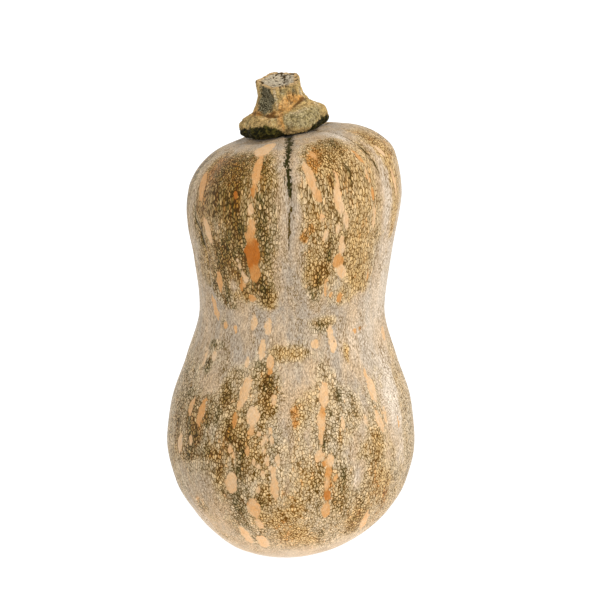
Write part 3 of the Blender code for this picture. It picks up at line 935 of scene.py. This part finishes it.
# %% Colours of the net's flecks and lines
dusk_here = rind.trait("dusk") + mottle * 1.2 + speckle * 0.9 + (second_lot - 0.5) * 0.4
dusk_here = (dusk_here - thread * 0.9).held()
line_width = 0.035 + net_here * 0.07 + dusk_here * 0.075
line = 1.0 - edge.rising(line_width * 0.45, line_width * 1.35)
gold_here = (rind.trait("gold") + drift + speckle).held()
bloom_here = (rind.trait("bloom") + mottle * 1.2 + drift * 0.5 + speckle * 0.7).held()
brown_here = (gold_here * 0.6 + 0.1 + rind.cloud(long_place, 3.0, 2.0) * 3.0 - 1.5).held()
ember = (rind.cloud(long_place, 7.0, 2.0) - 0.48) * 2.6 * gold_here
rust_here = (rind.trait("rust") + ember + speckle * 1.2 + (lot - 0.5) * 0.5).rising(0.2, 1.0)

PALE_FLECK, GOLD_FLECK, RUST_FLECK = seen(228, 206, 174), seen(234, 197, 138), seen(220, 150, 76)
GREEN_FLECK, BROWN_FLECK = seen(122, 108, 46), seen(174, 123, 38)
fleck = rind.mix(gold_here, PALE_FLECK, GOLD_FLECK)
fleck = rind.mix(rust_here * 0.85, fleck, RUST_FLECK)
glow = lot * lot
dusky = rind.mix(brown_here, GREEN_FLECK, BROWN_FLECK)
fleck = rind.mix(dusk_here * (0.85 - glow * 0.5), fleck, dusky)
fleck = rind.lighten(fleck, 0.83 + glow * 0.32 + grit * 1.3 + thread * 0.9)
TAN_LINE, GOLD_LINE, RUST_LINE = seen(100, 80, 30), seen(126, 86, 8), seen(140, 80, 12)
GREEN_LINE, BROWN_LINE = seen(64, 59, 6), seen(92, 63, 0)
line_colour = rind.mix(gold_here, TAN_LINE, GOLD_LINE)
line_colour = rind.mix(rust_here * 0.6, line_colour, RUST_LINE)
dusky_line = rind.mix(brown_here, GREEN_LINE, BROWN_LINE)
line_colour = rind.mix(dusk_here, line_colour, dusky_line)
netted = rind.mix(line * (0.66 + net_here * 0.34), fleck, line_colour)
print("nodes with the net's colours:", len(rind.tree.nodes))

# %% The film of bloom over the net
GREY_BLOOM, PEACH_BLOOM, GOLD_BLOOM = seen(187, 172, 153), seen(214, 187, 154), seen(222, 184, 140)
FROST, WORN_DASH = seen(232, 216, 196), seen(128, 100, 57)
warm_patch = (drift + mottle * 0.6).rising(-0.2, 0.2)
bloom_tone = rind.mix(warm_patch, GREY_BLOOM, PEACH_BLOOM)
bloom_tone = rind.mix(gold_here * 0.55, bloom_tone, GOLD_BLOOM)
bloom_tone = rind.mix(rind.trait("frost").held(), bloom_tone, FROST)
# The bloom is darkened by painted shade on the crown and in the grooves' valleys
bloom_light = 0.955 + lot * 0.2 + grit * 1.8 - rind.trait("shade") * 0.08
bloom_tone = rind.lighten(bloom_tone, bloom_light)
smooth_here = rind.cloud(long_place, 9.0, 2.0).rising(0.42, 0.58)
worn = (line * 0.5 - grit * 2.6 - thread * 2.4 + mottle + 0.08).held()
worn = worn * (1.0 - smooth_here * 0.6)
bloom_tone = rind.mix(worn, bloom_tone, WORN_DASH)
film = bloom_here.rising(0.28, 0.56) * (0.97 - line * 0.12) * (1.0 - dusk_here * 0.75)
filmed = rind.mix(film, netted, bloom_tone)
print("nodes with the bloom:", len(rind.tree.nodes))

# %% Streaks, seams and pores over the net
torn = (lot - 0.5) * 1.1 + speckle * 1.4
streak_mask = (rind.trait("streak") + torn).rising(-0.45, 0.65)
blush_here = (rind.trait("blush") + mottle * 0.3 + speckle * 0.2 + (lot - 0.5) * 0.14).held()
streak_colour = rind.ramp(blush_here, [
    (0.0, seen(234, 204, 168)), (0.16, seen(234, 194, 148)), (0.34, seen(228, 176, 120)),
    (0.6, seen(214, 152, 88)), (0.95, seen(192, 114, 50)),
])
streak_colour = rind.lighten(streak_colour, 1.02 + speckle * 0.3 + grit * 0.7 - line * 0.04)
streaked = rind.mix(streak_mask, filmed, streak_colour)

THIN_SEAM, THICK_SEAM, PORE = seen(92, 74, 38), seen(62, 58, 31), seen(70, 56, 36)
seam_away = rind.trait("seam_off").unsigned()
ragged = (lot - 0.5) * 1.3 + grit * 2.0
seam_reach = rind.trait("seam_width") * (1.0 + ragged)
seam_mask = (seam_reach - seam_away + torn * 0.4).rising(-0.1, 0.3)
seam_mask = seam_mask * rind.trait("seam_width").rising(0.1, 0.3)
seam_tone = rind.mix(rind.trait("seam_width").rising(0.6, 1.3), THIN_SEAM, THICK_SEAM)
seamed = rind.mix(seam_mask, streaked, seam_tone)

PORE_SPACING = 5.2
pore_gap = rind.cells(grain_place, PORE_SPACING, "F1", "Distance")
pore_lot = rind.channel(rind.cells(grain_place, PORE_SPACING, "F1", "Color"), "Blue")
pore = (1.0 - pore_gap.rising(0.05, 0.09)) * pore_lot.rising(0.6, 0.62)
pored = rind.mix(pore * 0.75, seamed, PORE)
# The lower bulb is lightened: partly its own paler blossom end, partly painted light bounced up from the
# floor
UNDERLIGHT_AND_PALE_GAIN = (1.46, 1.38, 1.29)
BARE_FOOT = (0.76, 0.60, 0.44)
underlit_and_paler = rind.mix(rind.trait("low"), pored, rind.vectors("MULTIPLY", pored, UNDERLIGHT_AND_PALE_GAIN))
foot_tone = rind.mix(rind.trait("under") * 0.8, underlit_and_paler, BARE_FOOT)
rind.feed(rind.shader.inputs["Base Color"], foot_tone)
print("nodes in the whole rind:", len(rind.tree.nodes))

# %% How the rind shines
rind.shader.inputs["Specular IOR Level"].default_value = 0.1
rind.shader.inputs["Sheen Weight"].default_value = 0.25
rind.shader.inputs["Sheen Roughness"].default_value = 0.3
rind.shader.inputs["Sheen Tint"].default_value = (1.0, 0.9, 0.76, 1.0)
dullness = 0.46 + bloom_here * 0.16 + line * net_here * 0.12 - streak_mask * 0.04
rind.feed(rind.shader.inputs["Roughness"], dullness)
rind.bump(speckle * 0.5 + mottle * 0.6 - line * net_here * 0.35 - pore * 0.8, 0.12)
fruit_mesh.materials.append(rind.material)
print("paint on the fruit:", fruit_mesh.materials[0].name)

# %% [markdown]
# ## The stem's form
#
# The cut stem is dry cork: a five-lobed collar, and a shank whose five sharp edges run down into
# the notches between the lobes. It is the plain solid's formula again on a net fine enough to
# hold wrinkles, grain and the pits of its cut. It has its own up direction, square to the crown.

# %% The stem's sizes
STEM_GAP = 0.3
STEM_LENGTH = 28.6
COLLAR_RADIUS = 24.1
SHANK_RADIUS = 12.2
STEM_OUTLINE = (
    (STEM_GAP, 0.0), (STEM_GAP, 20.5), (1.3, 22.9), (3.6, COLLAR_RADIUS), (7.0, 23.8),
    (10.0, 22.0), (12.5, 18.8), (14.5, 16.1), (18.5, 13.7), (23.0, SHANK_RADIUS),
    (27.6, 12.0), (STEM_LENGTH, 10.9), (28.2, 6.0), (28.0, 0.0),
)
LOBES = 5
STEM_FIRST_NOTCH = 2.0
STEM_TWIST = -22.0
ARRIS_RISE = 0.13
NOTCH_DEPTH = 0.16
ARRIS_HALF_WIDTH = 15.0
COLLAR_TOP = 9.0
SHANK_FOOT = 15.0
STEM_SWAY = ((0.0, 0.0), (8.0, 0.0), (15.0, 1.3), (22.0, 1.5), (STEM_LENGTH, 1.2))
CUT_RISE_LEFT = 0.07
CUT_RISE_BACK = 0.27
KNOB_LONGITUDE = 268.0
KNOB_HALF_WIDTH = 15.0
KNOB_RISE = 1.0
STEM_SIDES = 264
STEM_RING_STEP = 0.42
stem_ring_height, stem_ring_radius, stem_ring_arc = rings_along(STEM_OUTLINE, STEM_RING_STEP)
print("rings on the stem:", len(stem_ring_arc))

# %% Place points on the stem
def stem_point(height, radius, longitude):
    arris = smooth_step(COLLAR_TOP, SHANK_FOOT, height)
    twist = STEM_TWIST * smooth_step(SHANK_FOOT - 8.0, STEM_LENGTH, height)
    notches = [STEM_FIRST_NOTCH + twist + FULL_TURN / LOBES * i for i in range(LOBES)]
    bump = bumps_at(notches, longitude, ARRIS_HALF_WIDTH) - MEAN_BUMP
    radius = radius * (1.0 + bump * (ARRIS_RISE * arris - NOTCH_DEPTH * (1.0 - arris)))
    rim = smooth_step(SHANK_RADIUS - 6.0, SHANK_RADIUS - 2.0, radius)
    above = smooth_step(STEM_LENGTH - 6.0, STEM_LENGTH - 1.0, height)
    knob = bumps_at((KNOB_LONGITUDE,), longitude, KNOB_HALF_WIDTH)
    x = radius * np.sin(np.radians(longitude))
    y = -radius * np.cos(np.radians(longitude))
    height = height + KNOB_RISE * knob * rim * above
    slope = (CUT_RISE_BACK * y - CUT_RISE_LEFT * x) * smooth_step(SHANK_FOOT, STEM_LENGTH, height)
    return np.stack([x + along(STEM_SWAY, height), y, height + slope], -1), bump


stem_lon, stem_ring = ring_grid(len(stem_ring_arc), STEM_SIDES)
stem_height = stem_ring_height[stem_ring]
stem_radius = stem_ring_radius[stem_ring]
stem_arc = stem_ring_arc[stem_ring]
stem_skin, stem_bump = stem_point(stem_height, stem_radius, stem_lon)
stem_facing = outward(stem_skin, STEM_SIDES)
print("points on the stem:", len(stem_skin))

# %% Creases, lobes and cracks of the cork
# The crease between shank and collar is (longitude, arc), and runs higher over the right lobe.
STEM_CREASE = ((-180, 38.5), (-110, 39.0), (-70, 39.5), (-30, 37.8), (-6, 35.0), (15, 39.3),
               (45, 43.0), (70, 43.0), (120, 40.0), (180, 38.5))
stem_turned = off_by(stem_lon, 0.0)
stem_lumps = lumps(stem_skin, 4.0, 20)
past_crease = stem_arc - along(STEM_CREASE, stem_turned) + 0.7 * stem_lumps
facing_front = 0.35 + 0.65 * np.exp(-((stem_turned / 52.0) ** 4))
crease = facing_front * np.exp(-((past_crease / 1.2) ** 2))
lobe = np.exp(-(((past_crease + 6.5) / 4.0) ** 2))

def cracks(points, size, seed, power):
    """1 along the lines where the noise changes sign, and narrower for a higher power."""
    return (1.0 - np.abs(lumps(points, size, seed))) ** power


CUT_SPAN = 11.5
cut_arc = stem_arc[-1] - CUT_SPAN
on_cut = smooth_step(cut_arc - 0.8, cut_arc + 0.8, stem_arc)
on_shank = smooth_step(0.5, 3.0, past_crease) * (1.0 - on_cut)
on_collar = 1.0 - smooth_step(-1.0, 1.0, past_crease)
drawn_out = stem_skin * (1.0, 1.0, 0.2)
crevices = cracks(stem_skin, 2.6, 21, 5) + 0.6 * cracks(stem_skin, 1.3, 22, 4)
furrows = cracks(drawn_out, 1.8, 23, 4) + 0.5 * cracks(drawn_out, 0.8, 24, 3)
pits = np.clip(lumps(stem_skin, 1.5, 25) - 0.15, 0.0, 1.0)
pits = pits + 0.5 * np.clip(lumps(stem_skin, 0.8, 26), 0.0, 1.0)

CREASE_DEPTH, HOLLOW_DEPTH, CUT_DISH, PIT_DEPTH = 1.5, 0.8, 0.7, 0.9
grain_relief = on_collar * 0.6 * crevices + on_shank * (0.4 * furrows + 0.3 * crevices)
grain_relief += on_cut * PIT_DEPTH * pits
stem_relief = (0.2 + 0.8 * facing_front) * lobe * (0.8 + 0.5 * stem_bump)
stem_relief -= CREASE_DEPTH * crease + grain_relief
stem_relief -= on_shank * HOLLOW_DEPTH * np.clip(-stem_bump, 0.0, 0.35) / 0.35
stem_relief -= on_cut * CUT_DISH * np.exp(-((stem_radius / 5.0) ** 2))
stem_relief *= smooth_step(0.0, 1.2, stem_skin[:, 2] - STEM_GAP)
finished_stem = stem_skin + stem_relief[:, None] * stem_facing
print("stem relief in millimetres:", np.round([stem_relief.min(), stem_relief.max()], 2))

seat = skewed(np.array(0.0), np.array(0.0), np.array(CROWN_HEIGHT))
stem_turn = np.array(Euler((-CROWN_LEAN, -CROWN_TILT, 0.0)).to_matrix())
placed_stem = seat + finished_stem @ stem_turn.T
print("seat of the stem:", [round(float(value), 1) for value in seat])

# %% Patches of colour on the stem, placed one by one
# Each is (longitude, arc, half width in degrees, half height in millimetres, amount).
ORANGE_CORK = (
    (8, 42.5, 16, 4.4, 1.3), (32, 45, 15, 3.6, 1.2), (50, 45, 9, 2.6, 0.9), (-4, 35, 5, 7, 1.0),
    (0, 28, 3, 4, 0.8), (-20, 38, 12, 2.6, 1.0), (-55, 39, 14, 2.6, 1.1), (-68, 41, 7, 4, 0.8),
    (-35, 34.5, 18, 2.4, 0.45), (12, 47, 9, 3, 0.5), (25, 49, 8, 4, 0.7), (78, 44, 10, 4, 0.5),
    (120, 42, 20, 5, 0.7), (190, 41, 25, 4, 0.6), (250, 40, 20, 4, 0.6),
)
# The large grey patch on the shank's left face, away from the key light, is partly its own colour and
# partly painted shade
GREY_CORK = (
    (-43, 48.5, 26, 9.5, 1.7), (90, 50, 14, 7, 0.6), (160, 49, 16, 7, 0.6), (232, 49, 16, 7, 0.8),
    (38, 52, 5, 3, 0.6), (14, 53.5, 6, 1, 0.5),
)
OLIVE_CORK = (
    (30, 31, 30, 6.5, 1.0), (70, 32, 18, 5, 0.7), (6, 52, 14, 3, 0.7), (36, 51, 8, 4, 0.5),
    (150, 31, 30, 5, 0.7), (220, 30, 30, 5, 0.5), (-68, 31.5, 12, 3.0, 0.8), (-12, 32, 6, 3, 0.5),
)
CREAM_CORK = (
    (-14, 51, 4, 7, 0.9), (-9, 44, 4, 4, 0.6), (55, 48, 5, 8, 0.9), (-84, 48, 4, 8, 0.6),
    (78, 37.5, 14, 3, 0.8), (-96, 28, 12, 6, 0.7), (-30, 35, 8, 1.4, 0.5), (125, 48, 5, 8, 0.6),
    (197, 48, 5, 8, 0.6), (262, 47, 5, 8, 0.6), (30, 35.5, 16, 1.6, 0.5),
)
SHADED_CORK = (
    (-17, 38.5, 7, 1.6, 0.8), (-90, 56, 9, 3.2, 1.2), (34, 47.5, 2.5, 3, 0.5), (2, 25.5, 4, 2, 0.5),
    (50, 44.6, 7, 1.2, 0.6),
)
# How dark the crease is round the stem: (longitude, amount).
CREASE_SHADE = ((-180, 0.6), (-75, 0.6), (-50, 0.8), (-17, 1.0), (-4, 0.35), (10, 0.3), (25, 0.7),
                (45, 1.1), (62, 0.7), (80, 0.5), (180, 0.6))
# Up to which arc the underside of the collar is dark green, its own green with painted shade under the
# lip: (longitude, arc)
GREEN_AND_SHADE_TOP = ((-180, 26), (-110, 27.5), (-85, 28), (-60, 29.4), (-40, 30.4), (-20, 30.4), (-10, 28.6),
             (-1, 24.6), (4, 22.6), (30, 22.9), (38, 25), (50, 27.6), (70, 28), (110, 26), (180, 26))


def cork_patch(marks):
    total = np.zeros(len(stem_lon))
    for mark_lon, mark_arc, half_width, half_height, amount in marks:
        across = off_by(stem_lon, mark_lon) / half_width + 0.25 * stem_lumps
        up = (stem_arc - mark_arc) / half_height + 0.2 * stem_lumps
        total += amount * np.exp(-((across**2 + up**2) ** 1.4))
    return total


below_green_and_shade = along(GREEN_AND_SHADE_TOP, stem_turned) - stem_arc + 0.8 * stem_lumps
crease_shade = along(CREASE_SHADE, stem_turned) * np.exp(-((past_crease / 0.9) ** 2))
print("share of the stem that is green:", round(float((below_green_and_shade > 0).mean()), 2))

# %% Make the stem's mesh and hand it its traits
stem_mesh = closed_net("corky_stem", placed_stem, STEM_SIDES)
carry(stem_mesh, {
    "orange": cork_patch(ORANGE_CORK), "grey": cork_patch(GREY_CORK), "olive": cork_patch(OLIVE_CORK),
    "cream": cork_patch(CREAM_CORK), "shaded": cork_patch(SHADED_CORK) + crease_shade,
    "green": below_green_and_shade,
    "on_cut": on_cut, "spoke": stem_radius, "depth": grain_relief,
})
carry_place(stem_mesh, "grain", stem_skin)
stem = bpy.data.objects.new("corky_stem", stem_mesh)
scene.collection.objects.link(stem)
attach(stem, "root")
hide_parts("stem")
print("faces on the stem:", len(stem_mesh.polygons))

# %% [markdown]
# ## The cork's colours
#
# Dry cork is never one colour. Tan and orange show where the skin peeled last, olive grey where
# it is old and granular, and dark green under the collar's lip where it dried green, deepened by
# painted shade under the lip. The hollow left face of the shank, away from the key light, is a dark
# grey green, partly its own colour and partly painted shade. The cut is pale and grey with holes in it.
# Each is a soft patch on the mesh. Noise and small cells break their edges into grains.

# %% The cork's grains
cork = Paint("dry_cork", 0.85)
cork.shader.inputs["Specular IOR Level"].default_value = 0.12
cork_place = cork.place("grain")
cork_mottle = cork.cloud(cork_place, 3.0, 3.0) - 0.5
cork_speckle = cork.cloud(cork_place, 1.1, 2.0) - 0.5
cork_fine = cork.cloud(cork_place, 0.8, 1.0) - 0.5
GRAIN_SIZE = 1.1
cork_strayed = cork.stray(cork_place, 2.0, 0.4)
grain_lot = cork.channel(cork.cells(cork_strayed, GRAIN_SIZE, "F1", "Color"), "Red")
grain_edge = cork.cells(cork_strayed, GRAIN_SIZE, "DISTANCE_TO_EDGE", "Distance")
grain_line = 1.0 - grain_edge.rising(0.03, 0.16)
depth = cork.trait("depth")
# Darker in the cork's crevices, furrows and pits by their depth: painted shade
deep = (depth * 1.6 - 0.45 + cork_speckle * 1.2).held()


def cork_share(name):
    """How far a patch has taken hold, with its edge broken into grains."""
    broken = cork.trait(name) + cork_mottle * 0.9 + cork_speckle * 0.7 + (grain_lot - 0.5) * 0.35
    return broken.rising(0.25, 0.75)


print("nodes in the cork so far:", len(cork.tree.nodes))

# %% Lay the cork's patches over each other
tone = cork.mix((cork_mottle * 2.0 + 0.5).held(), seen(192, 166, 110), seen(218, 180, 122))
olive_share = (cork_mottle * 2.6 + cork_fine + 0.5).held()
olive_tone = cork.mix(olive_share, seen(156, 138, 92), seen(202, 184, 140))
tone = cork.mix(cork_share("olive"), tone, olive_tone)
tone = cork.mix(cork_share("cream"), tone, seen(230, 204, 160))
orange_pale = (cork_mottle * 2.4 + cork_speckle + 0.5).held()
orange_tone = cork.mix(orange_pale, seen(196, 132, 58), seen(230, 184, 122))
orange_share = (cork.trait("orange") + cork_mottle * 0.8 + cork_speckle * 0.4).rising(0.1, 1.1)
tone = cork.mix(orange_share * 0.95, tone, orange_tone)
# Grey cork, dark grey green: on the shank's left face partly painted shade on the side away from the key
# light
grey_tone = cork.mix((cork_fine * 2.8 + 0.4).held(), seen(70, 66, 48), seen(166, 156, 126))
tone = cork.mix(cork_share("grey"), tone, grey_tone)
tone = cork.lighten(tone, 0.8 + grain_lot * 0.45 + cork_speckle * 0.8 + cork_fine * 1.7)
tone = cork.mix(grain_line * 0.16, tone, seen(104, 86, 48))
tone = cork.mix(cork_share("shaded") * 0.8, tone, seen(92, 60, 20))
# Dark green under the collar's lip: its own green, deepened by painted shade under the overhang
green_and_shade_edge = (cork.trait("green") + cork_mottle * 5.0 + cork_speckle * 3.0).rising(-0.4, 1.2)
green_and_shade_tone = cork.mix((grain_lot * 1.4 - 0.6).held(), seen(44, 44, 20), seen(104, 96, 52))
tone = cork.mix(green_and_shade_edge, tone, green_and_shade_tone)
# Painted shade in the crevices, furrows and pits
tone = cork.mix(deep * 0.75, tone, seen(58, 48, 24))

rim = cork.trait("spoke").rising(7.5, 10.0)
cut_tone = cork.mix((rim + cork_mottle * 1.8).held(), seen(214, 199, 172), seen(214, 178, 126))
cut_tone = cork.lighten(cut_tone, 0.84 + grain_lot * 0.3 + cork_speckle * 1.2 + cork_fine * 1.8)
# The cut's pits are darkened by their depth: painted shade in them
pit_shade = (depth * 3.4 - 0.28 + cork_speckle * 2.6 + cork_fine * 1.6).held()
cut_tone = cork.mix(pit_shade, cut_tone, seen(84, 70, 50))
cork.feed(cork.shader.inputs["Base Color"], cork.mix(cork.trait("on_cut"), tone, cut_tone))
cork.bump(cork_speckle * 0.9 + cork_fine * 0.6 + grain_lot * 0.2 - grain_line * 0.2, 0.5)
stem_mesh.materials.append(cork.material)
print("nodes in the cork:", len(cork.tree.nodes))
